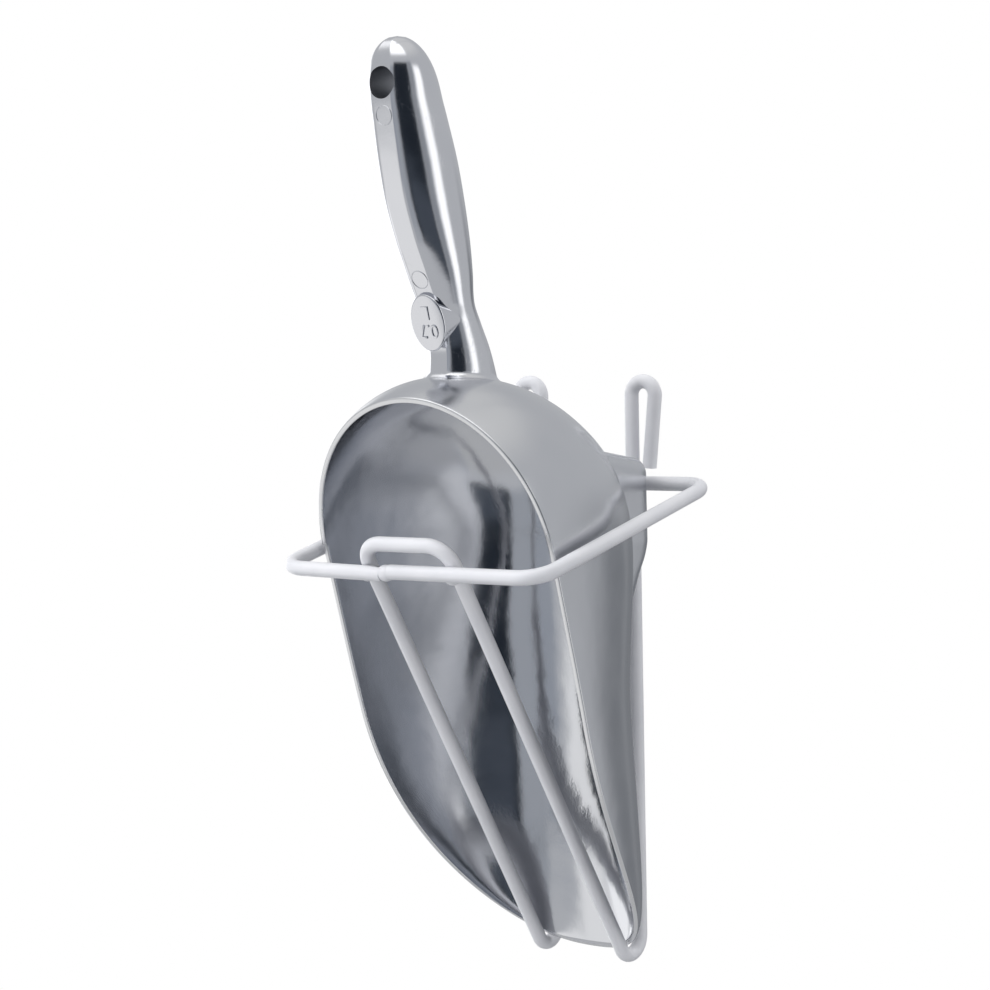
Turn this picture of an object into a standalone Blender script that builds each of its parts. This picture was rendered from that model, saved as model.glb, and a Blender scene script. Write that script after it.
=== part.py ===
"""Cast-aluminium feed scoop resting in its plastic-coated wire wall holder.

Metres, +Z up. The wall is the plane y = 0 (+Y points into the wall), x = 0
is the plane of symmetry, and z = 0 is the line of the two hanging screws.
Geometry is laid out in holder coordinates (legs in the plane y = 0, z = 0 at
the corner where the legs and the sloping arms would meet) and then carried
to the wall by the empty "mounting_datum".
"""
import math

import bmesh
import bpy
from mathutils import Vector

MM = 0.001
GAP = 0.3                 # clearance between separate pieces

# ---- wire holder ---------------------------------------------------------
D_COAT = 5.0              # wire over its plastic coating
D_HOLE = 4.26             # bore of the coating
D_STEEL = 3.66            # bare wire
WELD_PITCH = D_STEEL + GAP  # centre distance of two crossing wires
RING_W = 107.0            # ring, side to side, centre-lines
RING_FRONT_Y = -103.7
RING_BACK_Y = -WELD_PITCH
RING_BACK_Z = 182.4
RING_FRONT_Z = 159.4
RING_R = 9.0
LEG_BOTTOM_X = 17.9       # half spacing of the legs at the bottom
LEG_FRONT_X = 17.7
LEG_HOOK_X = 19.5
BOTTOM_R = 6.3
TOP_BAR_Z = 168.5
TOP_R = 8.0
HOOK_TOP_Z = 217.7        # wire centre at the crown of a hanging loop
HOOK_R = 4.87
HOOK_END_X = 26.4
HOOK_END_Z = 187.6
SCREW_Z = 213.0

# ---- scoop ---------------------------------------------------------------
WALL = 2.3
BOWL_HALF = 48.3
TIP_Z = 16.0
FULL_Z = 140.0            # the mouth reaches its full width here
POLE_Z = 165.0            # the dome is swung about this line
KEEL_Y, KEEL_LEAN = -4.2, 0.095
KEEL_BEND_Z, KEEL_PLUMB_Z = 90.0, 150.0  # the keel curves upright between these
ROUND_TIP, ROUND_FULL, ROUND_BACK, ROUND_RIM = 1.9, 2.35, 3.0, 2.0
ROUND_FULL_Z, ROUND_BACK_Z = 126.0, 110.0  # see section_roundness()
MOUTH_Y, MOUTH_LEAN = -41.0, 0.2857
MOUTH_SWEEP, MOUTH_SWEEP_Z = 0.0050, 108.0
HEEL_HALF, HEEL_TOP, HEEL_LOW, HEEL_Y = 32.0, 191.0, 131.0, -7.0
HANG_HOLE_Z, HANG_HOLE_D = 316.4, 10.2
PAD_TILT = 14.0           # the thumb pad looks a little downwards


# ---- helpers -------------------------------------------------------------
def material(name, colour, rough, metal):
    mat = bpy.data.materials.new(name)
    mat.use_nodes = True
    bsdf = mat.node_tree.nodes["Principled BSDF"]
    bsdf.inputs["Base Color"].default_value = (*colour, 1.0)
    bsdf.inputs["Roughness"].default_value = rough
    bsdf.inputs["Metallic"].default_value = metal
    return mat


def add_object(name, bm, mat=None):
    bmesh.ops.remove_doubles(bm, verts=bm.verts, dist=1e-7)
    bmesh.ops.recalc_face_normals(bm, faces=bm.faces)
    mesh = bpy.data.meshes.new(name)
    bm.to_mesh(mesh)
    bm.free()
    mesh.shade_smooth()
    mesh.set_sharp_from_angle(angle=math.radians(40))
    ob = bpy.data.objects.new(name, mesh)
    bpy.context.collection.objects.link(ob)
    if mat:
        mesh.materials.append(mat)
    return ob


def as_cutter(ob):
    ob.hide_render = True
    ob.display_type = "WIRE"
    return ob


def boolean(ob, operation, cutter):
    mod = ob.modifiers.new(operation.lower() + "_" + cutter.name, "BOOLEAN")
    mod.operation = operation
    mod.solver = "EXACT"
    mod.object = cutter
    return mod


def fillet(points, radii, closed, steps):
    """Round each corner of a polyline with an arc of the given radius."""
    out = []
    n = len(points)
    for i, p in enumerate(points):
        r = radii[i]
        if r == 0 or (not closed and i in (0, n - 1)):
            out.append(p)
            continue
        a = (points[i - 1] - p).normalized()
        b = (points[(i + 1) % n] - p).normalized()
        half = a.angle(b) / 2
        t = r / math.tan(half)
        centre = p + (a + b).normalized() * (r / math.sin(half))
        start, end = p + a * t - centre, p + b * t - centre
        turn = start.angle(end)
        for k in range(steps + 1):
            s = k / steps
            w0 = math.sin((1 - s) * turn) / math.sin(turn)
            w1 = math.sin(s * turn) / math.sin(turn)
            out.append(centre + start * w0 + end * w1)
    return out


def wire(name, points, diameter, closed, mat=None):
    """A round bar along the points: a poly curve with a bevel and caps."""
    curve = bpy.data.curves.new(name + "_path", "CURVE")
    curve.dimensions = "3D"
    spline = curve.splines.new("POLY")
    spline.points.add(len(points) - 1)
    for sp, p in zip(spline.points, points):
        sp.co = (p.x * MM, p.y * MM, p.z * MM, 1.0)
    spline.use_cyclic_u = closed
    curve.bevel_depth = diameter / 2 * MM
    curve.bevel_resolution = 3
    curve.use_fill_caps = not closed
    curve.twist_mode = "MINIMUM"
    temp = bpy.data.objects.new(name + "_path", curve)
    bpy.context.collection.objects.link(temp)
    bpy.context.view_layer.update()
    graph = bpy.context.evaluated_depsgraph_get()
    mesh = bpy.data.meshes.new_from_object(temp.evaluated_get(graph))
    bpy.data.objects.remove(temp)
    bm = bmesh.new()
    bm.from_mesh(mesh)
    bpy.data.meshes.remove(mesh)
    return add_object(name, bm, mat)


# ---- wire paths ----------------------------------------------------------
def ring_path(steps):
    h = RING_W / 2
    back, front = (RING_BACK_Y, RING_BACK_Z), (RING_FRONT_Y, RING_FRONT_Z)
    pts = [Vector((-h, *back)), Vector((h, *back)),
           Vector((h, *front)), Vector((-h, *front))]
    mid = Vector((0, *back))          # the joint of the loop, on a straight
    path = fillet(pts, [RING_R] * 4, True, steps)
    return path[:steps + 1] + [mid] + path[steps + 1:]


def cradle_path(steps, extra=0.0):
    """Half of the cradle from the cut end of a loop to the top bar, mirrored."""
    slope = math.atan2(-RING_FRONT_Y, RING_FRONT_Z)
    lean = -(RING_FRONT_Y + WELD_PITCH / math.cos(slope)) / RING_FRONT_Z
    top_y = -lean * TOP_BAR_Z
    crown = HOOK_TOP_Z - HOOK_R
    end = Vector((HOOK_END_X, 0, HOOK_END_Z))
    shoulder = Vector((LEG_HOOK_X + 2 * HOOK_R, 0, crown))
    out = (end - shoulder).normalized()
    loop = [end + out * extra, shoulder]
    arc = 2 * steps
    for k in range(1, arc):
        a = math.pi * k / arc
        loop.append(Vector((LEG_HOOK_X + HOOK_R + HOOK_R * math.cos(a), 0,
                            crown + HOOK_R * math.sin(a))))
    loop.append(Vector((LEG_HOOK_X, 0, crown)))
    corner = [Vector((LEG_HOOK_X, 0, crown)), Vector((LEG_BOTTOM_X, 0, 0)),
              Vector((LEG_FRONT_X, top_y, TOP_BAR_Z)),
              Vector((-LEG_FRONT_X, top_y, TOP_BAR_Z))]
    bends = fillet(corner, [0, BOTTOM_R, TOP_R, 0], False, steps)[1:-1]
    # one bottom bend turns nearly right round, so it takes more steps
    low = fillet(corner[:3], [0, BOTTOM_R, 0], False, 2 * steps)[1:-1]
    right = loop + low + bends[steps + 1:]
    return right + [Vector((-p.x, p.y, p.z)) for p in reversed(right)]


# ---- bowl ----------------------------------------------------------------
def mouth_y(z):
    return (MOUTH_Y - MOUTH_LEAN * z
            + MOUTH_SWEEP * max(0.0, MOUTH_SWEEP_Z - z) ** 2)


def keel_y(z):
    z = min(z, KEEL_PLUMB_Z)
    bend = max(0.0, z - KEEL_BEND_Z)
    return (KEEL_Y - KEEL_LEAN * (z - TIP_Z)
            + KEEL_LEAN * bend ** 2 / (2 * (KEEL_PLUMB_Z - KEEL_BEND_Z)))


def section_roundness(z):
    """Roundness of a level section: nearly oval at the tip, boxy at the back."""
    grow = min(1.0, (z - TIP_Z) / (ROUND_FULL_Z - TIP_Z))
    t = min(1.0, max(0.0, (z - ROUND_BACK_Z) / (POLE_Z - ROUND_BACK_Z)))
    return (ROUND_TIP + (ROUND_FULL - ROUND_TIP) * grow
            + (ROUND_BACK - ROUND_FULL) * t * t * (3 - 2 * t))


def arc_point(angle, roundness):
    """A point of a superellipse of unit size, from -X over the back to +X."""
    c, s = math.cos(angle), math.sin(angle)
    p = 2.0 / roundness
    return -math.copysign(abs(c) ** p, c), max(s, 0.0) ** p


def half_width(z, half, tip):
    u = min(1.0, max(0.0, (FULL_Z - z) / (FULL_Z - tip)))
    return half * (1.0 - u ** 3) ** 0.4


def dome_radius(phi):
    """Outer radius of the dome, swung back from the plane of the mouth."""
    knots = [(0, 52.7), (18, 56.4), (40, 60.5), (60, 65.0), (80, 71.0),
             (95, 73.7), (106, keel_y(POLE_Z) - mouth_y(POLE_Z))]
    for (a, ra), (b, rb) in zip(knots, knots[1:]):
        if phi <= b:
            return ra + (rb - ra) * (phi - a) / (b - a)
    return knots[-1][1]


def bowl_body(name, inset, forward, rows, fan, arc):
    """Closed body from the wall surface, inset inwards, to the mouth.

    forward pushes the mouth face out along -Y, for the body that cuts the
    hollow, so that it runs clear past the rim.
    """
    half = BOWL_HALF - inset
    tip = TIP_Z + 0.6 * inset
    bm = bmesh.new()
    stations = []
    for i in range(rows + 1):
        s = i / rows
        z = tip + (POLE_Z - tip) * s ** 1.6
        if i == 0:
            z = tip + 0.15
        h, ym, yk = half_width(z, half, tip), mouth_y(z), keel_y(z) - inset
        yk = max(yk, ym + 0.2)
        round_ = section_roundness(z)
        pts = []
        for k in range(arc + 1):
            ax, ay = arc_point(math.pi * k / arc, round_)
            pts.append((h * ax, ym + (yk - ym) * ay, z))
        stations.append((pts, ym, z))
    pole_y = mouth_y(POLE_Z)
    lean = math.degrees(math.atan(MOUTH_LEAN))
    for i in range(1, fan + 1):
        phi = (90 + lean) * (1 - i / fan)
        d = math.radians(phi - lean)
        r = dome_radius(phi) - inset
        round_ = ROUND_RIM + (ROUND_BACK - ROUND_RIM) * phi / (90 + lean)
        pts = []
        for k in range(arc + 1):
            ax, s = arc_point(math.pi * k / arc, round_)
            pts.append((half * ax, pole_y + r * s * math.sin(d),
                        POLE_Z + r * s * math.cos(d)))
        stations.append((pts, pole_y, POLE_Z))
    if forward:
        last = [(x, y - forward, z) for x, y, z in stations[-1][0]]
        stations.append((last, pole_y, POLE_Z))
    rows_v = []
    for pts, ym, z in stations:
        line = [bm.verts.new(Vector(p) * MM) for p in pts]
        if forward:
            line = ([bm.verts.new(Vector((pts[0][0], ym - forward, z)) * MM)]
                    + line
                    + [bm.verts.new(Vector((pts[-1][0], ym - forward, z)) * MM)])
        rows_v.append(line)
    for a, b in zip(rows_v, rows_v[1:]):
        for k in range(len(a) - 1):
            bm.faces.new((a[k], a[k + 1], b[k + 1], b[k]))
        if b in rows_v[:rows + 1]:
            bm.faces.new((a[-1], a[0], b[0], b[-1]))
    bm.faces.new(rows_v[0])
    bmesh.ops.remove_doubles(bm, verts=bm.verts, dist=1e-6)
    bmesh.ops.dissolve_degenerate(bm, edges=bm.edges, dist=1e-7)
    bmesh.ops.holes_fill(bm, edges=bm.edges, sides=0)
    return add_object(name, bm)


def heel_block():
    """The flat foot at the back of the dome, with a ramp below it."""
    # half width, y, z round the side of the foot
    side = [(HEEL_HALF, HEEL_Y, HEEL_TOP), (HEEL_HALF, HEEL_Y, HEEL_TOP - 28.0),
            (27.0, HEEL_Y - 8.5, HEEL_LOW), (30.0, -45.0, HEEL_LOW),
            (21.0, -45.0, HEEL_TOP + 6.0)]
    bm = bmesh.new()
    right = [bm.verts.new(Vector(p) * MM) for p in side]
    left = [bm.verts.new(Vector((-x, y, z)) * MM) for x, y, z in side]
    bm.faces.new(right)
    bm.faces.new(reversed(left))
    for k in range(len(side)):
        j = (k + 1) % len(side)
        bm.faces.new((right[j], right[k], left[k], left[j]))
    rear_top = [e for e in bm.edges if set(e.verts) == {right[0], left[0]}]
    bmesh.ops.bevel(bm, geom=rear_top, offset=5.0 * MM, segments=3,
                    profile=0.5, affect="EDGES")
    return as_cutter(add_object("heel_shape", bm))


def loft(name, sections):
    bm = bmesh.new()
    rings = [[bm.verts.new(Vector(p) * MM) for p in sec] for sec in sections]
    for a, b in zip(rings, rings[1:]):
        for k in range(len(a)):
            j = (k + 1) % len(a)
            bm.faces.new((a[k], a[j], b[j], b[k]))
    bm.faces.new(rings[0])
    bm.faces.new(rings[-1])
    return add_object(name, bm)


def grip_section(z, front, back, half, flat, side=4):
    """Flat front strip, sides that flare out, rounded back."""
    waist = front + 0.58 * (back - front)
    right = []
    for k in range(side + 1):
        a = math.pi / 2 * k / side
        right.append((flat + (half - flat) * math.sin(a),
                      front + (waist - front) * (1 - math.cos(a)), z))
    for k in range(1, side + 1):
        a = math.pi / 2 * k / side
        right.append((half * math.cos(a),
                      waist + (back - waist) * math.sin(a), z))
    left = [(-x, y, z) for x, y, z in reversed(right[:-1])]
    return right + left


def handle_body():
    # z, front, back, half width, half of the flat front strip
    stations = [
        (208.0, -85.5, -57.0, 12.8, 5.0),
        (219.0, -83.6, -59.5, 11.8, 4.4),
        (225.5, -82.6, -61.5, 11.0, 4.0),
        (231.5, -82.4, -63.5, 10.2, 4.0),
        (239.5, -84.0, -68.0, 9.9, 4.4),
        (246.0, -86.6, -72.0, 10.6, 4.9),
        (256.0, -91.8, -73.6, 12.2, 5.3),
        (266.0, -97.2, -74.8, 13.0, 5.5),
        (278.0, -102.0, -77.0, 13.4, 5.6),
        (292.0, -105.0, -80.2, 13.2, 5.7),
        (306.0, -107.2, -84.6, 12.4, 5.7),
        (317.0, -108.5, -89.2, 11.2, 5.5),
        (324.0, -108.2, -92.6, 9.4, 4.6),
        (328.5, -106.3, -95.2, 6.8, 3.2),
        (331.0, -103.2, -97.8, 3.6, 1.6),
    ]
    return loft("handle_shape", [grip_section(*s) for s in stations])


def oval_pad():
    """Thumb rest: an oval boss with draft, its face tipped slightly down."""
    bm = bmesh.new()
    bmesh.ops.create_cone(bm, cap_ends=True, segments=24, radius1=11.5 * MM,
                          radius2=9.6 * MM, depth=12.0 * MM)
    bmesh.ops.scale(bm, verts=bm.verts, vec=(0.72, 1.0, 1.0))
    ob = add_object("pad_shape", bm)
    ob.rotation_euler = (math.radians(90 + PAD_TILT), 0, 0)
    ob.location = Vector((0, -82.8, 241.0)) * MM
    return as_cutter(ob)


def cylinder(name, diameter, depth, location, tilt):
    bm = bmesh.new()
    bmesh.ops.create_cone(bm, cap_ends=True, segments=24,
                          radius1=diameter / 2 * MM,
                          radius2=diameter / 2 * MM, depth=depth * MM)
    ob = add_object(name, bm)
    ob.rotation_euler = (tilt, 0, 0)
    ob.location = Vector(location) * MM
    return as_cutter(ob)


# ---- build ---------------------------------------------------------------
for old in list(bpy.data.objects):
    bpy.data.objects.remove(old)

aluminium = material("cast_aluminium", (0.62, 0.63, 0.65), 0.22, 1.0)
steel = material("steel_wire", (0.40, 0.40, 0.41), 0.35, 1.0)
vinyl = material("white_plastic_coating", (0.80, 0.80, 0.81), 0.32, 0.0)

datum = bpy.data.objects.new("mounting_datum", None)
bpy.context.collection.objects.link(datum)
datum.location = Vector((0, -D_COAT / 2, -SCREW_Z)) * MM

ring_wire = wire("ring_wire", ring_path(4), D_STEEL, True, steel)
cradle_wire = wire("cradle_wire", cradle_path(4, -GAP), D_STEEL, False, steel)

coating = wire("wire_coating", cradle_path(4), D_COAT, False, vinyl)
ring_outside = as_cutter(wire("ring_outside", ring_path(4), D_COAT, True))
ring_bore = as_cutter(wire("ring_bore", ring_path(4), D_HOLE, True))
cradle_bore = as_cutter(wire("cradle_bore", cradle_path(4, 2.0), D_HOLE,
                             False))
boolean(coating, "UNION", ring_outside)
boolean(coating, "DIFFERENCE", ring_bore)
boolean(coating, "DIFFERENCE", cradle_bore)

scoop = bowl_body("scoop", 0.0, 0.0, 11, 7, 20)
scoop.data.materials.append(aluminium)
hollow = as_cutter(bowl_body("hollow_shape", WALL, 4.0, 11, 7, 20))
heel = heel_block()
handle = as_cutter(handle_body())
pad = oval_pad()
hang_hole = cylinder("hang_hole_shape", HANG_HOLE_D, 40.0,
                     (0, -98.0, HANG_HOLE_Z), math.radians(90))
boolean(scoop, "UNION", heel)
boolean(scoop, "UNION", handle)
boolean(scoop, "UNION", pad)
boolean(scoop, "DIFFERENCE", hollow)
boolean(scoop, "DIFFERENCE", hang_hole)

for ob in list(bpy.data.objects):
    if ob is not datum and ob.parent is None:
        ob.parent = datum
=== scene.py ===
"""Feed scoop of cast aluminium standing in its coated wire wall holder.

The lengths below are millimetres in the holder's own layout: the legs stand
in the plane y = 0, x = 0 is the plane of symmetry, and z = 0 is the corner
that the legs and the sloping arms would meet in. at() carries a point from
that layout to the frame, whose boxes give the two offsets.
"""
import math

import bmesh
import bpy
from mathutils import Matrix, Vector

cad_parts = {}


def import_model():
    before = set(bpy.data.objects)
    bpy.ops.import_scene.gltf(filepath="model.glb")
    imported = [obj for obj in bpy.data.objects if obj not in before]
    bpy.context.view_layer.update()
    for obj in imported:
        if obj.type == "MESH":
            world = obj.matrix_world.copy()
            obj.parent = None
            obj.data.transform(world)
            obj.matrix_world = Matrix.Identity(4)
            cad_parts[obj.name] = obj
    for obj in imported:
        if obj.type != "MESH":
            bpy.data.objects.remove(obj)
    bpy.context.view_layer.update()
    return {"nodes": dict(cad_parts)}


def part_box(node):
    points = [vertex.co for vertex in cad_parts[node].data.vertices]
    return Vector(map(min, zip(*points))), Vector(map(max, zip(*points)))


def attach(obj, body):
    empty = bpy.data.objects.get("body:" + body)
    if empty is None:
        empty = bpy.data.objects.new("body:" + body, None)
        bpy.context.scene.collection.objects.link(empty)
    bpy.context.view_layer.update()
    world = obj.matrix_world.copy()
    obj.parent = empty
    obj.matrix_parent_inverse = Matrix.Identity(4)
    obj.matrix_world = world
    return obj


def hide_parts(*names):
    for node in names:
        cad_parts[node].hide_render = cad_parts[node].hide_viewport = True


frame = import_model()

MM = 0.001

# ---- holder --------------------------------------------------------------
COAT_D = 5.0
STEEL_D = 3.66
WELD_PITCH = 3.96
ring_low, ring_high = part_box("ring_wire")
coat_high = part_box("wire_coating")[1]
SCREW_Z = 213.0
LAYOUT = Vector((0.0, coat_high[1] / MM - COAT_D / 2, -SCREW_Z))
RING_W = (ring_high[0] - ring_low[0]) / MM - STEEL_D
RING_FRONT_Y = (ring_low[1] / MM - LAYOUT.y) + STEEL_D / 2
RING_BACK_Y = -WELD_PITCH
RING_FRONT_Z = (ring_low[2] / MM - LAYOUT.z) + STEEL_D / 2
RING_BACK_Z = (ring_high[2] / MM - LAYOUT.z) - STEEL_D / 2
RING_R = 9.0
BUTT_X = -8.0             # the two ends of the ring wire meet here
BUTT_STEP = 0.8           # and are this far out of line
BUTT_GAP = 1.6            # each skin stops this far short, under the weld
ARM_LEAN = math.atan2(-RING_FRONT_Y, RING_FRONT_Z)
LEG_BOTTOM_X, LEG_FRONT_X, LEG_HOOK_X = 17.9, 17.7, 19.5
BOTTOM_R, TOP_R = 6.3, 8.0
TOP_BAR_Z = 168.5
HOOK_TOP_Z, HOOK_R = 217.7, 4.87
HOOK_END_X, HOOK_END_Z = 26.4, 187.6

# ---- scoop ---------------------------------------------------------------
WALL = 1.8
RIM_R = 0.35              # the rim's two edges are rounded by hand
BOWL_HALF = 48.3
TIP_Z, FULL_Z, POLE_Z = 16.0, 140.0, 165.0
KEEL_Y, KEEL_LEAN = -4.2, 0.095
KEEL_BEND_Z, KEEL_PLUMB_Z = 90.0, 150.0
MOUTH_Y, MOUTH_LEAN = -41.0, 0.2857
MOUTH_SWEEP, MOUTH_SWEEP_Z = 0.0050, 108.0
ROUND_TIP, ROUND_RIM = 1.9, 2.0
ROUND_FULL, ROUND_BACK = (2.35, 2.2), (3.0, 2.25)  # outside, inside
ROUND_FULL_Z, ROUND_BACK_Z = 126.0, 110.0
HEEL_HALF, HEEL_TOP, HEEL_Y, HEEL_RAMP_Z = 32.0, 191.0, -7.2, 163.0
HOLE_Z, HOLE_D = 317.3, 10.2
HOLE_Y, HOLE_TILT = -98.0, math.radians(97)
PAD_TILT = math.radians(14.0)
PAD_FACE = Vector((0.0, -88.62, 239.55))
PAD_HALF_W, PAD_HALF_H = 6.9, 9.6   # its face
PAD_ROOT_W, PAD_ROOT_H = 9.0, 2.4   # and where its drafted sides end in the neck
PAD_DEEP = 10.5


def at(x, y, z):
    return (Vector((x, y, z)) + LAYOUT) * MM


# ---- small maths ---------------------------------------------------------
def clamp(value, low=0.0, high=1.0):
    return max(low, min(high, value))


def ease(value):
    t = clamp(value)
    return t * t * (3 - 2 * t)


def along(rows, key):
    """Smooth values between rows of a table sorted by their first column."""
    i = 0
    while i < len(rows) - 2 and rows[i + 1][0] <= key:
        i += 1
    p1, p2 = rows[i], rows[i + 1]
    p0, p3 = rows[max(i - 1, 0)], rows[min(i + 2, len(rows) - 1)]
    span = p2[0] - p1[0]
    t = clamp((key - p1[0]) / span)
    out = []
    for c in range(1, len(p1)):
        m1 = (p2[c] - p0[c]) / max(p2[0] - p0[0], 1e-6) * span
        m2 = (p3[c] - p1[c]) / max(p3[0] - p1[0], 1e-6) * span
        t2, t3 = t * t, t * t * t
        out.append((2 * t3 - 3 * t2 + 1) * p1[c] + (t3 - 2 * t2 + t) * m1
                   + (3 * t2 - 2 * t3) * p2[c] + (t3 - t2) * m2)
    return out


# ---- making objects ------------------------------------------------------
def finish_mesh(name, bm, materials, sharp=35.0):
    mesh = bpy.data.meshes.new(name)
    bm.to_mesh(mesh)
    bm.free()
    mesh.shade_smooth()
    mesh.set_sharp_from_angle(angle=math.radians(sharp))
    for mat in materials:
        mesh.materials.append(mat)
    ob = bpy.data.objects.new(name, mesh)
    bpy.context.collection.objects.link(ob)
    return ob


def apply_modifiers(ob):
    graph = bpy.context.evaluated_depsgraph_get()
    mesh = bpy.data.meshes.new_from_object(ob.evaluated_get(graph))
    old = ob.data
    ob.modifiers.clear()
    ob.data = mesh
    mesh.name = old.name
    bpy.data.meshes.remove(old)


def linear(hex_colour, alpha=1.0):
    """sRGB hex to the linear colour that shaders take."""
    out = []
    for i in (0, 2, 4):
        c = int(hex_colour.lstrip("#")[i:i + 2], 16) / 255
        out.append(c / 12.92 if c <= 0.04045 else ((c + 0.055) / 1.055) ** 2.4)
    return (*out, alpha)


def node(tree, kind, links=None, **settings):
    """Add a node; settings set its properties or sockets, links feed them."""
    n = tree.nodes.new(kind)
    for key, value in settings.items():
        if hasattr(n, key):
            setattr(n, key, value)
        else:
            n.inputs[key.replace("_", " ")].default_value = value
    for socket, source in (links or {}).items():
        tree.links.new(source, n.inputs[socket])
    return n


# ---- materials -----------------------------------------------------------
def shader(name, metallic, colour, roughness, ior=1.5):
    """A new material with the values that are the same all over it."""
    mat = bpy.data.materials.new(name)
    mat.use_nodes = True
    tree = mat.node_tree
    bsdf = tree.nodes["Principled BSDF"]
    bsdf.inputs["Base Color"].default_value = linear(colour)
    bsdf.inputs["Metallic"].default_value = metallic
    bsdf.inputs["Roughness"].default_value = roughness
    bsdf.inputs["IOR"].default_value = ior
    return mat, tree, bsdf


# sizes in millimetres of what shows on the casting
CLOUD, SWAY, PEEL, PEBBLE, SCRATCH = 22, 28, 7, 0.9, 5


def cast_aluminium(name, light, dark, smooth, rough, grain, ripple, sway,
                   cheeks=0.0, scratches=0.0):
    """Sand-cast aluminium, tumbled and polished.

    The polish leaves a mirror over a slow sway of the casting's skin, a faint
    orange-peel ripple and a fine pebble under a millimetre; sway, ripple and
    grain are their heights in millimetres. The wheel reaches the side walls of
    the bowl less, so cheeks adds roughness away from the middle, and handling
    leaves fine curved scratches in patches.
    """
    mat, tree, bsdf = shader(name, 1.0, light, smooth)
    where = node(tree, "ShaderNodeTexCoord").outputs["Object"]
    cloud = node(tree, "ShaderNodeTexNoise", {"Vector": where},
                 Scale=1 / (CLOUD * MM), Detail=3.0, Roughness=0.55)
    fine = node(tree, "ShaderNodeTexNoise", {"Vector": where},
                Scale=1 / (PEBBLE * MM), Detail=2.0, Roughness=0.6)
    wave = node(tree, "ShaderNodeTexNoise", {"Vector": where},
                Scale=1 / (PEEL * MM), Detail=1.0, Roughness=0.4)
    tint = node(tree, "ShaderNodeMix", {"Factor": cloud.outputs["Fac"]},
                data_type="RGBA")
    tint.inputs["A"].default_value = linear(dark)
    tint.inputs["B"].default_value = linear(light)
    tree.links.new(tint.outputs["Result"], bsdf.inputs["Base Color"])
    level = node(tree, "ShaderNodeMapRange", {"Value": cloud.outputs["Fac"]},
                 From_Min=0.3, From_Max=0.75, To_Min=smooth, To_Max=rough)
    dull = level.outputs["Result"]
    if cheeks:
        part = node(tree, "ShaderNodeSeparateXYZ", {"Vector": where})
        out = node(tree, "ShaderNodeMath", {0: part.outputs["X"]}, operation="ABSOLUTE")
        far = node(tree, "ShaderNodeMapRange", {"Value": out.outputs[0]},
                   interpolation_type="SMOOTHSTEP", From_Min=18 * MM, From_Max=42 * MM,
                   To_Min=0.0, To_Max=cheeks)
        total = node(tree, "ShaderNodeMath", {0: dull, 1: far.outputs["Result"]},
                     operation="ADD")
        dull = total.outputs[0]
    tree.links.new(dull, bsdf.inputs["Roughness"])
    slow = node(tree, "ShaderNodeTexNoise", {"Vector": where},
                Scale=1 / (SWAY * MM), Detail=0.5, Roughness=0.4)
    bump_slow = node(tree, "ShaderNodeBump", {"Height": slow.outputs["Fac"]},
                     Strength=1.0, Distance=sway * MM)
    bump_wave = node(tree, "ShaderNodeBump",
                     {"Height": wave.outputs["Fac"],
                      "Normal": bump_slow.outputs["Normal"]},
                     Strength=1.0, Distance=ripple * MM)
    if scratches:
        bend = node(tree, "ShaderNodeTexNoise", {"Vector": where},
                    Scale=1 / (SCRATCH * MM), Detail=1.0, Distortion=0.6)
        some = node(tree, "ShaderNodeMapRange", {"Value": cloud.outputs["Fac"]},
                    From_Min=0.52, From_Max=0.62, To_Min=0.0, To_Max=1.0)
        off = node(tree, "ShaderNodeMath", {0: bend.outputs["Fac"]}, operation="SUBTRACT")
        off.inputs[1].default_value = 0.5
        off = node(tree, "ShaderNodeMath", {0: off.outputs[0]}, operation="ABSOLUTE")
        line = node(tree, "ShaderNodeMapRange", {"Value": off.outputs[0]},
                    From_Min=0.0, From_Max=0.006, To_Min=-1.0, To_Max=0.0)
        line = node(tree, "ShaderNodeMath",
                    {0: line.outputs["Result"], 1: some.outputs["Result"]},
                    operation="MULTIPLY")
        bump_wave = node(tree, "ShaderNodeBump",
                         {"Height": line.outputs[0],
                          "Normal": bump_wave.outputs["Normal"]},
                         Strength=1.0, Distance=scratches * MM)
    bump_fine = node(tree, "ShaderNodeBump",
                     {"Height": fine.outputs["Fac"],
                      "Normal": bump_wave.outputs["Normal"]},
                     Strength=1.0, Distance=grain * MM)
    tree.links.new(bump_fine.outputs["Normal"], bsdf.inputs["Normal"])
    return mat


def dipped_plastic():
    """White vinyl dip: a soft gloss over a skin that flowed and set unevenly.

    The dip runs a little thicker and whiter in places, over a centimetre or
    two, and its surface has a slight orange peel of two or three millimetres.
    """
    mat, tree, bsdf = shader("dipped_white_vinyl", 0.0, "#DEDEE1", 0.34, 1.5)
    where = node(tree, "ShaderNodeTexCoord").outputs["Object"]
    run = node(tree, "ShaderNodeTexNoise", {"Vector": where},
               Scale=1 / (16 * MM), Detail=2.0, Roughness=0.5)
    tint = node(tree, "ShaderNodeMix", {"Factor": run.outputs["Fac"]}, data_type="RGBA")
    tint.inputs["A"].default_value = linear("#D3D4D9")
    tint.inputs["B"].default_value = linear("#E3E3E6")
    tree.links.new(tint.outputs["Result"], bsdf.inputs["Base Color"])
    gloss = node(tree, "ShaderNodeMapRange", {"Value": run.outputs["Fac"]},
                 From_Min=0.3, From_Max=0.7, To_Min=0.28, To_Max=0.42)
    tree.links.new(gloss.outputs["Result"], bsdf.inputs["Roughness"])
    skin = node(tree, "ShaderNodeTexNoise", {"Vector": where},
                Scale=1 / (2.5 * MM), Detail=2.0, Roughness=0.5)
    bump = node(tree, "ShaderNodeBump", {"Height": skin.outputs["Fac"]},
                Strength=1.0, Distance=0.02 * MM)
    tree.links.new(bump.outputs["Normal"], bsdf.inputs["Normal"])
    return mat


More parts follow.
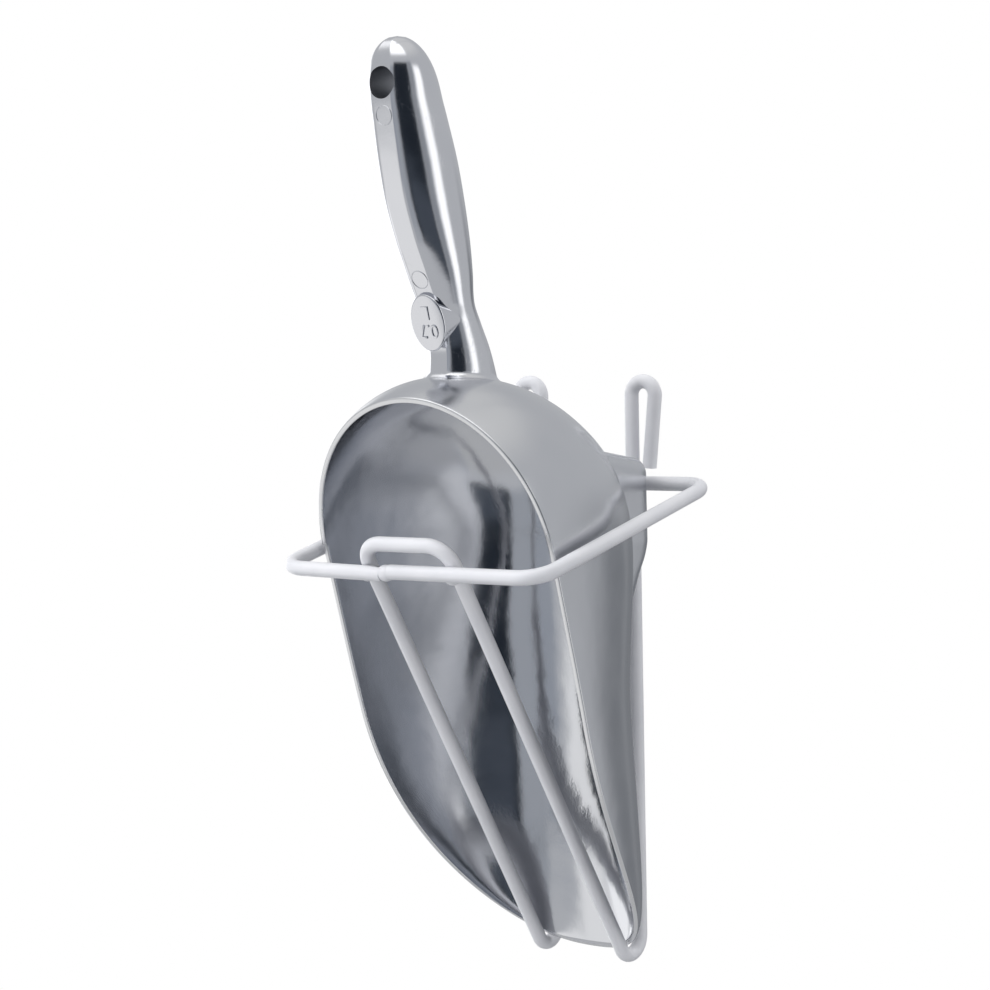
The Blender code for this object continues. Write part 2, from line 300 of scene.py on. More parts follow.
def drawn_steel():
    """Bright drawn wire, seen only at the cut ends, where the shears grained it."""
    mat, tree, bsdf = shader("drawn_steel_wire", 1.0, "#A9A9AC", 0.4)
    where = node(tree, "ShaderNodeTexCoord").outputs["Object"]
    shear = node(tree, "ShaderNodeTexNoise", {"Vector": where},
                 Scale=1 / (0.5 * MM), Detail=2.0, Roughness=0.6)
    tint = node(tree, "ShaderNodeMix", {"Factor": shear.outputs["Fac"]}, data_type="RGBA")
    tint.inputs["A"].default_value = linear("#96979B")
    tint.inputs["B"].default_value = linear("#B9B9BC")
    tree.links.new(tint.outputs["Result"], bsdf.inputs["Base Color"])
    dull = node(tree, "ShaderNodeMapRange", {"Value": shear.outputs["Fac"]},
                From_Min=0.3, From_Max=0.7, To_Min=0.32, To_Max=0.5)
    tree.links.new(dull.outputs["Result"], bsdf.inputs["Roughness"])
    bump = node(tree, "ShaderNodeBump", {"Height": shear.outputs["Fac"]},
                Strength=1.0, Distance=0.01 * MM)
    tree.links.new(bump.outputs["Normal"], bsdf.inputs["Normal"])
    return mat


bowl_inside_mat = cast_aluminium("polished_cast_aluminium_inside", "#E6E7EA",
                                 "#DADCE1", 0.08, 0.15, 0.016, 0.09, 0.9,
                                 cheeks=0.1)
bowl_outside_mat = cast_aluminium("satin_cast_aluminium_outside", "#E2E3E6",
                                  "#D8DADE", 0.18, 0.27, 0.007, 0.05, 0.4)
rim_mat = cast_aluminium("worn_rim_aluminium", "#F0F0F1", "#E2E3E5", 0.2,
                         0.35, 0.012, 0.02, 0.0)
grip_mat = cast_aluminium("polished_cast_aluminium_grip", "#E8E9EC",
                          "#DEDFE4", 0.10, 0.18, 0.007, 0.05, 0.15,
                          scratches=0.01)
# the bore: rougher as-cast metal, and its darker grey is painted shade inside the hanging
# hole
bore_painted_shade_mat = cast_aluminium("as_cast_aluminium_bore_painted_shade", "#A6A8AD", "#8E9095", 0.38,
                          0.5, 0.02, 0.03, 0.0)
vinyl_mat = dipped_plastic()
steel_mat = drawn_steel()


# ---- wires ---------------------------------------------------------------
def fillet(points, radii, steps):
    """Round each corner of an open polyline with an arc of its radius."""
    out = []
    for i, p in enumerate(points):
        r = radii[i]
        if r == 0:
            out.append(p)
            continue
        a = (points[i - 1] - p).normalized()
        b = (points[i + 1] - p).normalized()
        half = a.angle(b) / 2
        t = r / math.tan(half)
        centre = p + (a + b).normalized() * (r / math.sin(half))
        start, end = p + a * t - centre, p + b * t - centre
        turn = start.angle(end)
        for k in range(steps + 1):
            s = k / steps
            w0 = math.sin((1 - s) * turn) / math.sin(turn)
            w1 = math.sin(s * turn) / math.sin(turn)
            out.append(centre + start * w0 + end * w1)
    return out


def grow(bm, edges):
    """Extrude a loop of edges in place; gives the new vertices and edges."""
    grown = bmesh.ops.extrude_edge_only(bm, edges=edges)["geom"]
    verts = [g for g in grown if isinstance(g, bmesh.types.BMVert)]
    return verts, [g for g in grown if isinstance(g, bmesh.types.BMEdge)
                   and all(v in verts for v in g.verts)]


def sweep(name, path, radius, materials, sides=28):
    """Extrude a circle from point to point along a path in millimetres."""
    bm = bmesh.new()
    n = len(path)
    tangents = [(path[min(i + 1, n - 1)] - path[max(i - 1, 0)]).normalized()
                for i in range(n)]
    turn = Vector((0, 0, 1)).rotation_difference(tangents[0])
    bmesh.ops.create_circle(bm, cap_ends=False, radius=radius * MM, segments=sides)
    bmesh.ops.rotate(bm, verts=bm.verts, cent=(0, 0, 0), matrix=turn.to_matrix())
    bmesh.ops.translate(bm, verts=bm.verts, vec=at(*path[0]))
    first = loop = list(bm.edges)
    for i in range(1, n):
        verts, loop = grow(bm, loop)
        turn = tangents[i - 1].rotation_difference(tangents[i]).to_matrix()
        bmesh.ops.rotate(bm, verts=verts, cent=at(*path[i - 1]), matrix=turn)
        bmesh.ops.translate(bm, verts=verts, vec=(path[i] - path[i - 1]) * MM)
    for end in (loop, first):
        cut_end(bm, end, radius)
    bmesh.ops.recalc_face_normals(bm, faces=bm.faces)
    return finish_mesh(name, bm, materials, 50)


# share of the skin's radius, and millimetres in from the end: the skin curls
# over the cut wire and then runs down its bore
END_LIP = [(0.96, -0.05), (0.88, -0.10), (0.80, -0.02), (0.78, 1.4)]


def cut_end(bm, edges, radius):
    """Turn the skin's end in over the wire, down to its bore."""
    centre = sum((v.co for e in edges for v in e.verts), Vector()) / (2 * len(edges))
    faces = [f for e in edges for f in e.link_faces]
    middle = sum((f.calc_center_median() for f in faces), Vector()) / len(faces)
    inward = (middle - centre).normalized()
    for shrink, sink in END_LIP:
        verts, edges = grow(bm, edges)
        for v in verts:
            flat = (v.co - centre) - inward * (v.co - centre).dot(inward)
            v.co = centre + flat.normalized() * radius * shrink * MM + inward * sink * MM


def ring_path(steps=14):
    """Round the sloping ring from one end at the butt to the other."""
    h = RING_W / 2
    pts = [Vector((BUTT_X + BUTT_GAP, RING_FRONT_Y, RING_FRONT_Z)),
           Vector((h, RING_FRONT_Y, RING_FRONT_Z)),
           Vector((h, RING_BACK_Y, RING_BACK_Z)),
           Vector((-h, RING_BACK_Y, RING_BACK_Z)),
           Vector((-h, RING_FRONT_Y, RING_FRONT_Z)),
           Vector((BUTT_X - BUTT_GAP, RING_FRONT_Y, RING_FRONT_Z - BUTT_STEP))]
    return fillet(pts, [0, RING_R, RING_R, RING_R, RING_R, 0], steps)


def cradle_path(steps=14):
    """Hook, leg, bottom bend, arm and half the top bar, then their mirror image."""
    arm_y = RING_FRONT_Y + WELD_PITCH / math.cos(ARM_LEAN)
    lean = -arm_y / RING_FRONT_Z
    top_y = -lean * TOP_BAR_Z
    crown = HOOK_TOP_Z - HOOK_R
    loop = [Vector((HOOK_END_X, 0, HOOK_END_Z)),
            Vector((LEG_HOOK_X + 2 * HOOK_R, 0, crown))]
    for k in range(1, 2 * steps):
        a = math.pi * k / (2 * steps)
        loop.append(Vector((LEG_HOOK_X + HOOK_R + HOOK_R * math.cos(a), 0,
                            crown + HOOK_R * math.sin(a))))
    loop.append(Vector((LEG_HOOK_X, 0, crown)))
    corner = [loop[-1], Vector((LEG_BOTTOM_X, 0, 0)),
              Vector((LEG_FRONT_X, top_y, TOP_BAR_Z)),
              Vector((-LEG_FRONT_X, top_y, TOP_BAR_Z))]
    bottom = fillet(corner[:3], [0, BOTTOM_R, 0], 2 * steps)[1:-1]
    top = fillet(corner[1:], [0, TOP_R, 0], steps)[1:-1]
    right = loop + bottom + top
    return right + [Vector((-p.x, p.y, p.z)) for p in reversed(right)]


WELD_SIZE = (2.9, 2.6, 2.9)         # half sizes of the swelling over a weld
BUTT_WELD_SIZE = (3.4, 2.62, 2.75)
ARM_WELD_DROP = 0.9                 # it sits a little below the ring's middle


def blob(name, centre, radii, lean=0.0):
    """A weld under the skin: a smooth swelling where two wires cross."""
    bm = bmesh.new()
    bmesh.ops.create_uvsphere(bm, u_segments=32, v_segments=20, radius=MM)
    bmesh.ops.scale(bm, verts=bm.verts, vec=radii)
    bmesh.ops.rotate(bm, verts=bm.verts, cent=(0, 0, 0),
                     matrix=Matrix.Rotation(lean, 3, "X"))
    bmesh.ops.translate(bm, verts=bm.verts, vec=at(*centre))
    return finish_mesh(name, bm, [vinyl_mat])


ring_skin = sweep("ring_skin", ring_path(), COAT_D / 2, [vinyl_mat])
cradle_skin = sweep("cradle_skin", cradle_path(), COAT_D / 2, [vinyl_mat])
welds = [blob("ring_butt_weld", (BUTT_X, RING_FRONT_Y, RING_FRONT_Z - BUTT_STEP / 2),
              BUTT_WELD_SIZE)]
leg_x = LEG_BOTTOM_X + (LEG_HOOK_X - LEG_BOTTOM_X) * RING_BACK_Z / HOOK_TOP_Z
for side, word in ((1, "right"), (-1, "left")):
    welds.append(blob(f"arm_weld_{word}",
                      (side * LEG_FRONT_X, RING_FRONT_Y + WELD_PITCH / 2,
                       RING_FRONT_Z - ARM_WELD_DROP), WELD_SIZE, ARM_LEAN))
    welds.append(blob(f"leg_weld_{word}",
                      (side * leg_x, RING_BACK_Y / 2, RING_BACK_Z), WELD_SIZE))


# ---- bowl ----------------------------------------------------------------
def mouth_y(z):
    """The plane of the mouth, swept back towards the tip."""
    sweep_back = max(0.0, MOUTH_SWEEP_Z - z)
    return MOUTH_Y - MOUTH_LEAN * z + MOUTH_SWEEP * sweep_back ** 2


def keel_y(z):
    """The middle of the bowl's back: it leans forward, then stands plumb."""
    z = min(z, KEEL_PLUMB_Z)
    bend = max(0.0, z - KEEL_BEND_Z)
    return (KEEL_Y - KEEL_LEAN * (z - TIP_Z)
            + KEEL_LEAN * bend ** 2 / (2 * (KEEL_PLUMB_Z - KEEL_BEND_Z)))


def section_roundness(z, skin):
    """Roundness of a level section: nearly oval at the tip, boxy at the back."""
    full, back = ROUND_FULL[skin], ROUND_BACK[skin]
    return (ROUND_TIP + (full - ROUND_TIP) * clamp((z - TIP_Z) / (ROUND_FULL_Z - TIP_Z))
            + (back - full) * ease((z - ROUND_BACK_Z) / (POLE_Z - ROUND_BACK_Z)))


def half_width(z, half, tip):
    """Half the bowl's width: parallel sides that close in a blunt tip."""
    u = clamp((FULL_Z - z) / (FULL_Z - tip))
    return half * (1.0 - u ** 3) ** 0.4


SPLIT = 0.56              # share of the bowl's rows that lie below the dome
# the dome's radius at angles swung back from the plane of the mouth
DOME = [(0, 52.7), (18, 56.5), (40, 60.6), (60, 65.1), (80, 70.9), (95, 73.6),
        (106, keel_y(POLE_Z) - mouth_y(POLE_Z)), (117, 73.6)]
LEAN = math.degrees(math.atan(MOUTH_LEAN))


def super_round(angle, n):
    """A unit superellipse at a polar angle, from -X over the back to +X."""
    c, s = math.cos(angle), math.sin(angle)
    rho = (abs(c) ** n + abs(s) ** n) ** (-1 / n)
    return -rho * c, rho * s


def bowl_place(u, v, inset, skin=0):
    """A point of the bowl's skin and the point of the axis it is swung from."""
    half, tip = BOWL_HALF - inset, TIP_Z + 0.6 * inset
    angle = math.pi * u
    if v <= SPLIT:
        t = v / SPLIT
        # rows crowd towards the tip, where the outline turns fastest
        t *= (t / (t + 0.12 * (1 - t))) ** 1.5 if t > 0 else 0.0
        z = tip + (POLE_Z - tip) * t
        ax, ay = super_round(angle, section_roundness(z, skin))
        ym = mouth_y(z)
        yk = max(keel_y(z) - inset, ym + 0.05)
        axis = Vector((0, ym, z))
        return axis, Vector((half_width(z, half, tip) * ax, ym + (yk - ym) * ay, z))
    phi = (90 + LEAN) * (1 - (v - SPLIT) / (1 - SPLIT))
    d = math.radians(phi - LEAN)
    n = ROUND_RIM + (ROUND_BACK[skin] - ROUND_RIM) * phi / (90 + LEAN)
    ax, s = super_round(angle, n)
    r = along(DOME, phi)[0] - inset
    axis = Vector((0, mouth_y(POLE_Z), POLE_Z))
    return axis, axis + Vector((half * ax, r * s * math.sin(d), r * s * math.cos(d)))


def make_bowl(columns=190, rows=230):
    """Two skins, each a grid laid on the section sizes, joined round the rim."""
    bm = bmesh.new()
    for skin, inset in enumerate((0.0, WALL)):
        before = set(bm.verts)
        bmesh.ops.create_grid(bm, x_segments=columns, y_segments=rows, size=1.0)
        new = [v for v in bm.verts if v not in before]
        for v in new:
            v.co = at(*bowl_place((v.co.x + 1) / 2, (v.co.y + 1) / 2, inset, skin)[1])
        bmesh.ops.remove_doubles(bm, verts=new, dist=0.002 * MM)
        new = [v for v in bm.verts if v not in before]
        for f in {f for v in new for f in v.link_faces}:
            f.material_index = skin
    land = bmesh.ops.bridge_loops(bm, edges=[e for e in bm.edges if e.is_boundary])
    for f in land["faces"]:
        f.material_index = 2
    bmesh.ops.recalc_face_normals(bm, faces=bm.faces)
    corners = [e for e in bm.edges if len(e.link_faces) == 2
               and {f.material_index for f in e.link_faces} in ({0, 2}, {1, 2})]
    bmesh.ops.bevel(bm, geom=corners, offset=RIM_R * MM, segments=3, profile=0.5,
                    affect="EDGES", material=2)
    return finish_mesh("scoop_bowl", bm, [bowl_outside_mat, bowl_inside_mat, rim_mat], 50)


bowl = make_bowl()


# ---- heel ----------------------------------------------------------------
HEEL_TOP_SLOPE = 0.17     # the top of the foot climbs towards the dome
HEEL_RAMP = 0.266         # and its back runs in below
HEEL_BEND = 12.0          # over this height the back turns into the ramp
HEEL_EDGE = 5.0           # rounding of its edges
HEEL_TAPER = 0.16         # its sides close in below the ramp's top
HEEL_SINK = (1.0, 1.3)    # its outer and inner skins start this deep in the bowl's wall


def heel_depth(p):
    """How far a point stands inside the foot, edges rounded; below 0 outside."""
    ramp = max(0.0, HEEL_RAMP_Z - p.z)
    back = HEEL_Y - HEEL_RAMP * ramp * ease(ramp / HEEL_BEND) - p.y
    side = HEEL_HALF - HEEL_TAPER * ramp - abs(p.x)
    top = HEEL_TOP + HEEL_TOP_SLOPE * (HEEL_Y - p.y) - p.z
    gaps = [max(HEEL_EDGE - gap, 0.0) for gap in (back, side, top)]
    if max(gaps) == 0.0:
        return min(back, side, top) - HEEL_EDGE
    return HEEL_EDGE - math.sqrt(sum(g * g for g in gaps))


def under_heel(u, v, inset):
    """A point of the patch of bowl that the foot grows from."""
    return bowl_place(0.1 + 0.8 * u, 0.40 + 0.44 * v, inset)


def heel_point(u, v):
    """Where a ray from the bowl's axis leaves the foot, or the bowl's own wall."""
    axis, p = under_heel(u, v, HEEL_SINK[0])
    ray = (p - axis).normalized()
    low, high = (p - axis).length, 120.0
    if heel_depth(p) < 0:
        return at(*p)
    for _ in range(24):
        mid = (low + high) / 2
        low, high = (mid, high) if heel_depth(axis + ray * mid) > 0 else (low, mid)
    return at(*(axis + ray * low))


def make_heel(columns=220, rows=150):
    """The foot: its skin sinks into the wall of the bowl all round."""
    bm = bmesh.new()
    for layer in (0, 1):
        before = set(bm.verts)
        bmesh.ops.create_grid(bm, x_segments=columns, y_segments=rows, size=1.0)
        new = [v for v in bm.verts if v not in before]
        for v in new:
            u, w = (v.co.x + 1) / 2, (v.co.y + 1) / 2
            if layer:
                v.co = at(*under_heel(u, w, HEEL_SINK[1])[1])
            else:
                v.co = heel_point(u, w)
    bmesh.ops.bridge_loops(bm, edges=[e for e in bm.edges if e.is_boundary])
    bmesh.ops.recalc_face_normals(bm, faces=bm.faces)
    return finish_mesh("scoop_heel", bm, [bowl_outside_mat], 50)


heel = make_heel()


# ---- grip ----------------------------------------------------------------
# height, front, back, half width, half of the flat strip down the front
GRIP = [
    (212.0, -84.8, -58.0, 12.4, 4.0),
    (219.0, -83.6, -59.8, 11.6, 3.6),
    (225.5, -82.8, -61.6, 10.9, 3.3),
    (231.5, -82.9, -63.6, 10.2, 3.3),
    (239.5, -85.0, -68.0, 9.9, 3.4),
    (246.0, -88.2, -72.0, 10.6, 3.5),
    (256.0, -93.2, -73.6, 12.2, 3.6),
    (266.0, -98.0, -74.8, 13.0, 3.7),
    (278.0, -102.4, -77.0, 13.4, 3.8),
    (292.0, -105.6, -80.2, 13.2, 3.9),
    (306.0, -107.9, -84.5, 12.3, 3.9),
    (312.0, -108.7, -86.4, 11.8, 3.9),
    (333.0, -110.6, -92.2, 10.9, 3.8),
]
GRIP_CAP_Z = 312.0        # above this the grip closes in a rounded end
GRIP_TOP_Z = 331.2
CAP_ROUNDNESS = 2.6
WAIST = 0.56              # the grip is widest this far from front to back
FLANK_START = math.radians(24)  # the flank leaves the strip at this angle
FOOT_R = 2.6              # fillet where the neck meets the dome
FOOT_SINK = 0.25          # the fillet's edge stands this deep in the dome


def grip_outline(angle, front, back, half, flat):
    """Point of the section at a polar angle, 0 at the front and pi behind."""
    waist = front + WAIST * (back - front)
    dx, dy = math.sin(angle), -math.cos(angle)
    low, high = 0.0, 2 * (half + back - front)
    side = abs(dx)
    for _ in range(26):
        mid = (low + high) / 2
        x, y = side * mid, waist + dy * mid
        if y >= waist:
            inside = (x / half) ** 2.2 + ((y - waist) / (back - waist)) ** 2.2 <= 1
        else:
            depth = (waist - y) / (waist - front)
            # the flank is an arc that meets the strip at a soft arris
            t = math.acos(math.cos(FLANK_START) * min(depth, 1.0))
            span = (math.sin(t) - math.sin(FLANK_START)) / (1 - math.sin(FLANK_START))
            inside = depth <= 1 and x <= flat + (half - flat) * max(span, 0.0)
        low, high = (mid, high) if inside else (low, mid)
    return Vector((dx * low, waist + dy * low))


def dome_height(x, y):
    """Height of the dome's outer surface over a point of the plan."""
    pole_y = mouth_y(POLE_Z)
    phi = 30.0
    z = POLE_Z + 50
    for _ in range(8):
        n = ROUND_RIM + (ROUND_BACK[0] - ROUND_RIM) * phi / (90 + LEAN)
        s = (1 - clamp(abs(x) / BOWL_HALF) ** n) ** (1 / n)
        r = along(DOME, phi)[0] * s
        z = POLE_Z + math.sqrt(max(r * r - (y - pole_y) ** 2, 1.0))
        phi = clamp(math.degrees(math.atan2(y - pole_y, z - POLE_Z)) + LEAN, 0, 106)
    return z


def grip_point(u, v, feet):
    """A point of the grip's skin: u goes round it and v from foot to end."""
    angle = 2 * math.pi * u
    base = feet(angle)
    t = v ** 1.25
    z = base + (GRIP_TOP_Z - base) * t
    cap = clamp((z - GRIP_CAP_Z) / (GRIP_TOP_Z - GRIP_CAP_Z))
    front, back, half, flat = along(GRIP, z)
    p = grip_outline(angle, front, back, half, flat)
    waist = front + WAIST * (back - front)
    arm = Vector((p.x, p.y - waist))
    size = arm.length
    ray = Vector((arm.x / size, arm.y / size, 0))
    rise = z - base - 0.2
    if rise < FOOT_R:
        k = FOOT_R - max(rise, 0.0)
        size += FOOT_R - math.sqrt(max(FOOT_R ** 2 - k ** 2, 0.0))
    size *= math.sqrt(max(1 - cap ** CAP_ROUNDNESS, 0.0))
    return at(ray.x * size, waist + ray.y * size, z)


def foot_heights():
    """Height of the dome under the neck's skirt, all the way round."""
    front, back, half, flat = along(GRIP, 220.0)
    waist = front + WAIST * (back - front)

    def height(angle):
        p = grip_outline(angle, front, back, half, flat)
        arm = Vector((p.x, p.y - waist))
        arm *= (arm.length + FOOT_R) / arm.length
        return dome_height(arm.x, waist + arm.y) - FOOT_SINK
    return height


def make_grip(columns=132, rows=250):
    """Neck and grip in one skin, closed at the end and under the foot."""
    bm = bmesh.new()
    bmesh.ops.create_grid(bm, x_segments=columns, y_segments=rows, size=1.0)
    feet = foot_heights()
    for v in bm.verts:
        v.co = grip_point((v.co.x + 1) / 2, (v.co.y + 1) / 2, feet)
    bmesh.ops.remove_doubles(bm, verts=bm.verts, dist=0.004 * MM)
    bmesh.ops.holes_fill(bm, edges=[e for e in bm.edges if e.is_boundary], sides=0)
    bmesh.ops.recalc_face_normals(bm, faces=bm.faces)
    return finish_mesh("scoop_grip", bm, [grip_mat], 60)


def hole_cutter():
    """The hanging hole, bored square to the grip."""
    bm = bmesh.new()
    bmesh.ops.create_cone(bm, cap_ends=True, segments=96, radius1=HOLE_D / 2 * MM,
                          radius2=HOLE_D / 2 * MM, depth=40 * MM)
    bmesh.ops.rotate(bm, verts=bm.verts, cent=(0, 0, 0),
                     matrix=Matrix.Rotation(HOLE_TILT, 3, "X"))
    bmesh.ops.translate(bm, verts=bm.verts, vec=at(0, HOLE_Y, HOLE_Z))
    # the cutter's metal becomes the bore's wall: rougher, with a darker grey that is painted
    # shade
    return finish_mesh("hanging_hole_cutter", bm, [bore_painted_shade_mat])


def drill(ob, cutter):
    """Cut the hole; its wall keeps the cutter's rougher metal, whose darker grey is painted
    shade inside the hole.
    """
    mod = ob.modifiers.new("hanging_hole", "BOOLEAN")
    mod.operation = "DIFFERENCE"
    mod.solver = "EXACT"
    mod.material_mode = "TRANSFER"
    mod.object = cutter
    apply_modifiers(ob)
    ob.data.set_sharp_from_angle(angle=math.radians(40))
    bpy.data.objects.remove(cutter)


grip = make_grip()
drill(grip, hole_cutter())


def place_on_pad(bm, lift):
    """Stand a flat shape on the pad's face, its middle lift millimetres out."""
    turn = Matrix.Rotation(math.pi / 2 + PAD_TILT, 3, "X")
    bmesh.ops.rotate(bm, verts=bm.verts, cent=(0, 0, 0), matrix=turn)
    normal = Vector((0, -math.cos(PAD_TILT), -math.sin(PAD_TILT)))
    bmesh.ops.translate(bm, verts=bm.verts, vec=at(*(PAD_FACE + normal * lift)))


def make_pad():
    """The thumb pad: an oval boss with drafted sides and a broken edge."""
    bm = bmesh.new()
    bmesh.ops.create_cone(bm, cap_ends=True, segments=128, radius1=MM, radius2=MM,
                          depth=PAD_DEEP * MM)
    for v in bm.verts:
        half_w, half_h = (PAD_HALF_W, PAD_HALF_H) if v.co.z > 0 else (PAD_ROOT_W, PAD_ROOT_H)
        v.co.x *= half_w
        v.co.y *= half_h
    top = [e for e in bm.edges if all(v.co.z > 0 for v in e.verts)]
    bmesh.ops.bevel(bm, geom=top, offset=0.6 * MM, segments=5, profile=0.5,
                    affect="EDGES", material=-1)
    place_on_pad(bm, -PAD_DEEP / 2)
    return finish_mesh("thumb_pad", bm, [grip_mat], 40)


LETTER_SIZE = 6.4


def lettering(name, text, y):
    """Raised cast characters that read from the tip of the scoop."""
    curve = bpy.data.curves.new(name, "FONT")
    curve.body = text
    curve.size = LETTER_SIZE * MM
    curve.align_x = "CENTER"
    curve.align_y = "CENTER"
    curve.extrude = 0.22 * MM
    curve.bevel_depth = 0.08 * MM
    curve.bevel_resolution = 1
    temp = bpy.data.objects.new(name, curve)
    bpy.context.collection.objects.link(temp)
    bpy.context.view_layer.update()
    graph = bpy.context.evaluated_depsgraph_get()
    mesh = bpy.data.meshes.new_from_object(temp.evaluated_get(graph))
    bpy.data.objects.remove(temp)
    bm = bmesh.new()
    bm.from_mesh(mesh)
    bpy.data.meshes.remove(mesh)
    bmesh.ops.remove_doubles(bm, verts=bm.verts, dist=0.001 * MM)
    bmesh.ops.translate(bm, verts=bm.verts, vec=(0, y * MM, 0))
    bmesh.ops.rotate(bm, verts=bm.verts, cent=(0, 0, 0),
                     matrix=Matrix.Rotation(math.pi, 3, "Z"))
    place_on_pad(bm, 0.05)
    return finish_mesh(name, bm, [grip_mat], 40)


MARK_R, MARK_BEAD = 3.1, 0.16       # of the ring and of the bead that it is


def ejector_mark(name, z):
    """A thin raised ring left in the strip by the mould."""
    front = along(GRIP, z)[0]
    slope = along(GRIP, z + 1)[0] - along(GRIP, z - 1)[0]
    bm = bmesh.new()
    bmesh.ops.create_circle(bm, cap_ends=False, segments=10, radius=MARK_BEAD * MM)
    bmesh.ops.rotate(bm, verts=bm.verts, cent=(0, 0, 0),
                     matrix=Matrix.Rotation(math.pi / 2, 3, "X"))
    bmesh.ops.translate(bm, verts=bm.verts, vec=(MARK_R * MM, 0, 0))
    bmesh.ops.spin(bm, geom=list(bm.verts) + list(bm.edges), cent=(0, 0, 0),
                   axis=(0, 0, 1), angle=2 * math.pi, steps=56, use_merge=True)
    bmesh.ops.recalc_face_normals(bm, faces=bm.faces)
    bmesh.ops.rotate(bm, verts=bm.verts, cent=(0, 0, 0),
                     matrix=Matrix.Rotation(math.pi / 2 - math.atan2(slope, 2), 3, "X"))
    bmesh.ops.translate(bm, verts=bm.verts, vec=at(0, front - 0.02, z))
    return finish_mesh(name, bm, [grip_mat])


pad = make_pad()
figures = lettering("pad_figures", "0.7", 2.6)
unit = lettering("pad_unit", "L", -3.6)
mark_upper = ejector_mark("ejector_mark_upper", 305.6)
mark_lower = ejector_mark("ejector_mark_lower", 253.6)


# ---- the frame's view of the pieces --------------------------------------
for piece in (bowl, heel, grip, pad, figures, unit, mark_upper, mark_lower):
    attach(piece, "scoop_body")
    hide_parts("scoop")
for piece in (ring_skin, cradle_skin, *welds):
    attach(piece, "holder")
    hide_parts("wire_coating")
for name in ("ring_wire", "cradle_wire"):
    for slot in frame["nodes"][name].material_slots:
        slot.material = steel_mat


# ---- stage ---------------------------------------------------------------
# left, right, low, high, softness in degrees, then colour and strength
STUDIO = [
    (-180, 180, -90, 90, 1, "#F2F4F8", 0.57),    # white walls all round
    (-180, 180, 48, 91, 14, "#FFFFFF", 0.68),    # bright ceiling
    (-180, 180, -91, -50, 6, "#F4F5F7", 0.54),   # floor
    (152, 181, -40, 2, 8, "#DFE3EA", 0.28),      # shaded lower wall, right back
    (-181, -150, -40, 2, 8, "#DFE3EA", 0.28),
    (-110, 75, 50, 86, 7, "#FFFFFF", 1.5),       # soft box overhead in front
    (-4, 22, -38, 26, 4, "#D5DAE2", 0.54),       # the unlit side of the studio
    (21, 66, -38, 32, 3, "#8A9BB4", 0.06),
    (26, 64, -38, -15, 5, "#A3AFC2", 0.17),
    (66, 80, -38, 34, 3.5, "#D5DAE2", 0.42),
    (-25, -3, -20, 12, 4, "#C4CAD4", 0.60),      # a grey stand beside it
    (-62, -33, -52, -9, 5, "#FFFFFF", 0.88),     # white sheet low in front
    (84, 104, -34, 27, 5, "#FFFFFF", 1.35),      # tall soft box, right
    (-132, -96, -32, 14, 5, "#FFFFFF", 1.7),     # tall soft box, left
    (-90, -64, -30, -12, 5, "#FFFFFF", 1.1),     # reflector, left
]


def world():
    """A white studio as bright metal sees it.

    Directions are turned into degrees round the object, 0 in front of it and
    90 to its right, and degrees above the level. The first card lies behind
    all the others, and each of those has soft edges.
    """
    made = bpy.data.worlds.new("studio")
    bpy.context.scene.world = made
    made.use_nodes = True
    tree = made.node_tree
    tree.nodes.clear()
    ray = node(tree, "ShaderNodeTexCoord").outputs["Generated"]
    part = node(tree, "ShaderNodeSeparateXYZ", {"Vector": ray})
    ahead = node(tree, "ShaderNodeMath", {0: part.outputs["Y"]}, operation="MULTIPLY")
    ahead.inputs[1].default_value = -1.0
    turn = node(tree, "ShaderNodeMath", {0: part.outputs["X"], 1: ahead.outputs[0]},
                operation="ARCTAN2")
    turn = node(tree, "ShaderNodeMath", {0: turn.outputs[0]}, operation="DEGREES")
    rise = node(tree, "ShaderNodeMath", {0: part.outputs["Z"]}, operation="ARCSINE")
    rise = node(tree, "ShaderNodeMath", {0: rise.outputs[0]}, operation="DEGREES")

    light = None
    for left, right, low, high, soft, colour, strength in STUDIO:
        card = node(tree, "ShaderNodeBackground", Color=linear(colour), Strength=strength)
        if light is None:
            light = card
            continue
        mask = None
        for angle, edge, inner in ((turn, left, 1.0), (turn, right, 0.0),
                                   (rise, low, 1.0), (rise, high, 0.0)):
            side = node(tree, "ShaderNodeMapRange", {"Value": angle.outputs[0]},
                        interpolation_type="SMOOTHSTEP", From_Min=edge - soft,
                        From_Max=edge + soft, To_Min=1.0 - inner, To_Max=inner)
            if mask is not None:
                side = node(tree, "ShaderNodeMath",
                            {0: mask.outputs[0], 1: side.outputs[0]}, operation="MULTIPLY")
            mask = side
        light = node(tree, "ShaderNodeMixShader",
                     {0: mask.outputs[0], 1: light.outputs[0], 2: card.outputs[0]})
    path = node(tree, "ShaderNodeLightPath")
    paper = node(tree, "ShaderNodeBackground", Color=linear("#FFFFFF"), Strength=1.0)
    seen = node(tree, "ShaderNodeMixShader", {0: path.outputs["Is Camera Ray"],
                                              1: light.outputs[0], 2: paper.outputs[0]})
    out = node(tree, "ShaderNodeOutputWorld")
    tree.links.new(seen.outputs[0], out.inputs[0])


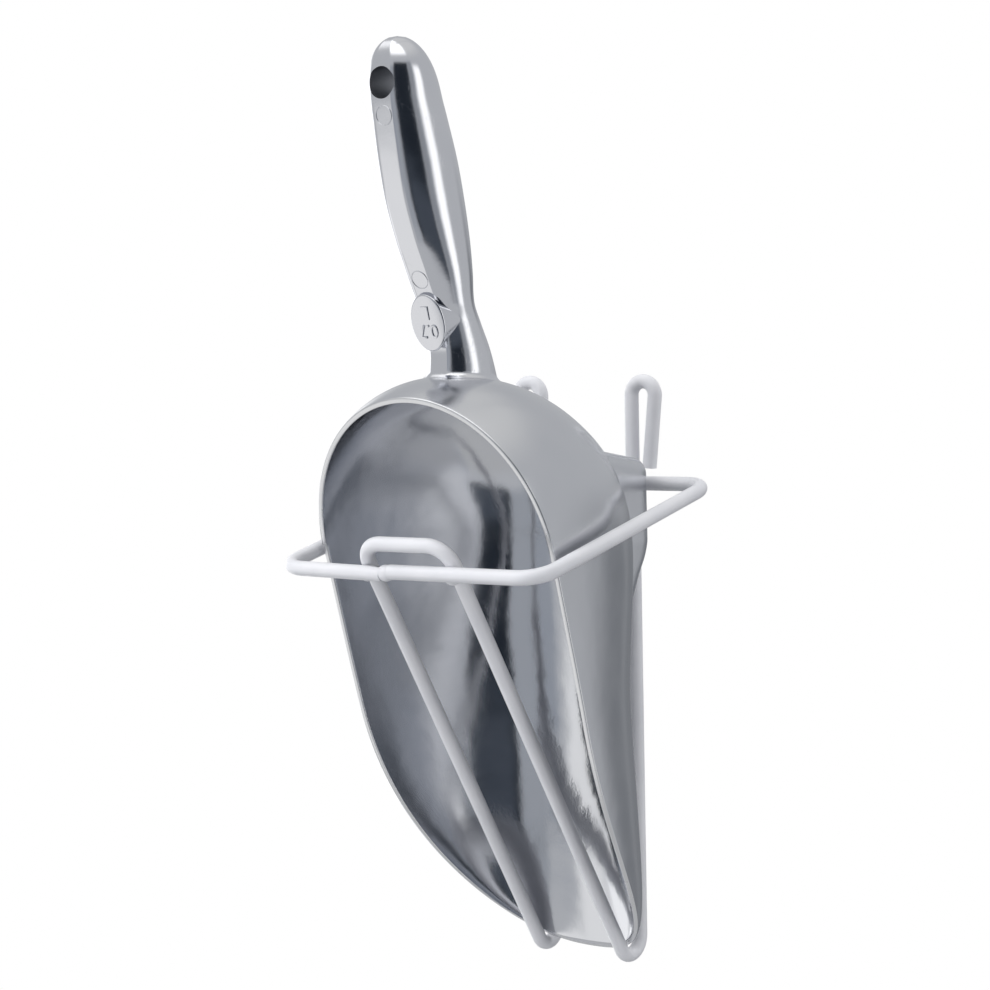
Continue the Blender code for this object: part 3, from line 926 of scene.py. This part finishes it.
def area(name, location, size, power):
    """A soft lamp for the white skin; the metal is lit by the studio alone."""
    light = bpy.data.lights.new(name, "AREA")
    light.shape = "RECTANGLE"
    light.size, light.size_y = size
    light.energy = power
    ob = bpy.data.objects.new(name, light)
    ob.location = location
    ob.rotation_euler = (-Vector(location)).to_track_quat("-Z", "Y").to_euler()
    ob.visible_glossy = False
    bpy.context.collection.objects.link(ob)


FLOOR_Z, FLOOR_R = -0.7, 4.0    # metres


def floor():
    """A plain pale floor well below the object, which hangs on a wall."""
    mat = bpy.data.materials.new("pale_floor")
    mat.use_nodes = True
    tree = mat.node_tree
    tree.nodes.clear()
    glow = node(tree, "ShaderNodeEmission", Color=linear("#FFFFFF"), Strength=1.0)
    out = node(tree, "ShaderNodeOutputMaterial")
    tree.links.new(glow.outputs[0], out.inputs["Surface"])
    bm = bmesh.new()
    bmesh.ops.create_circle(bm, cap_ends=True, segments=64, radius=FLOOR_R)
    bmesh.ops.translate(bm, verts=bm.verts, vec=(0, 0, FLOOR_Z))
    ob = finish_mesh("floor", bm, [mat])
    ob.visible_glossy = False
    ob.visible_diffuse = False


CAMERA_AT = (0.5091, -0.7279, 0.0227)
CAMERA_TURN = (37.2, 3.7, -1.5)     # degrees round, down and rolled
CAMERA_LENS = 90.9


def make_camera():
    """Slightly above the rim, from the right of the front."""
    azimuth, elevation, roll = (math.radians(a) for a in CAMERA_TURN)
    data = bpy.data.cameras.new("camera")
    data.sensor_width = 36.0
    data.lens = CAMERA_LENS
    ob = bpy.data.objects.new("camera", data)
    ob.location = CAMERA_AT
    look = Vector((-math.sin(azimuth) * math.cos(elevation),
                   math.cos(azimuth) * math.cos(elevation), -math.sin(elevation)))
    turn = look.to_track_quat("-Z", "Y").to_matrix()
    ob.rotation_euler = (turn @ Matrix.Rotation(roll, 3, "Z")).to_euler()
    bpy.context.collection.objects.link(ob)
    bpy.context.scene.camera = ob


world()
floor()
make_camera()
for spec in (("lamp_over_left", (-0.9, -1.2, 1.2), (1.0, 1.0), 22),
             ("lamp_right", (1.6, -0.6, 0.5), (0.8, 1.2), 6),
             ("lamp_low", (-0.2, -1.3, -0.7), (1.2, 0.8), 9),
             ("lamp_behind", (0.5, 1.3, 0.9), (1.0, 1.0), 8)):
    area(*spec)
bpy.context.scene.view_settings.view_transform = "Standard"
